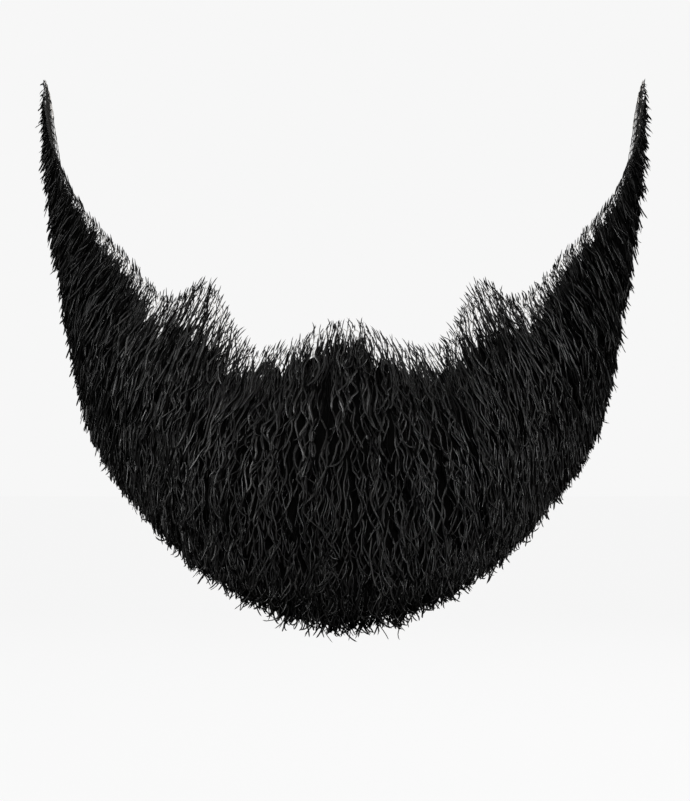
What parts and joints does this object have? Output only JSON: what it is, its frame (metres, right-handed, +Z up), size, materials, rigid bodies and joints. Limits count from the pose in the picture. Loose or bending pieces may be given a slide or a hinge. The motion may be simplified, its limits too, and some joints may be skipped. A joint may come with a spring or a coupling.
{
  "type": "fake beard",
  "caption": "Full black chin beard without a moustache, hair on a fine net base that curves round the jaw from ear to ear",
  "frame": {"origin": "on the inner face of the net at the foremost point of the chin, in the middle plane: the chin_seat mount", "axes": "+Z up, -Y out of the front of the beard, +X to the right as seen from the front"},
  "size_m": [0.1528, 0.121, 0.1338],
  "materials": {
    "lace": "fine off-white hexagonal net, matt, dark with knots under the hair, 1 mm wall standing for the knotted net",
    "hair": "black slightly wavy hair with a soft neutral grey sheen"
  },
  "bodies": {
    "root": {"lace_base": "lace", "hair": "hair"}
  },
  "joints": []
}
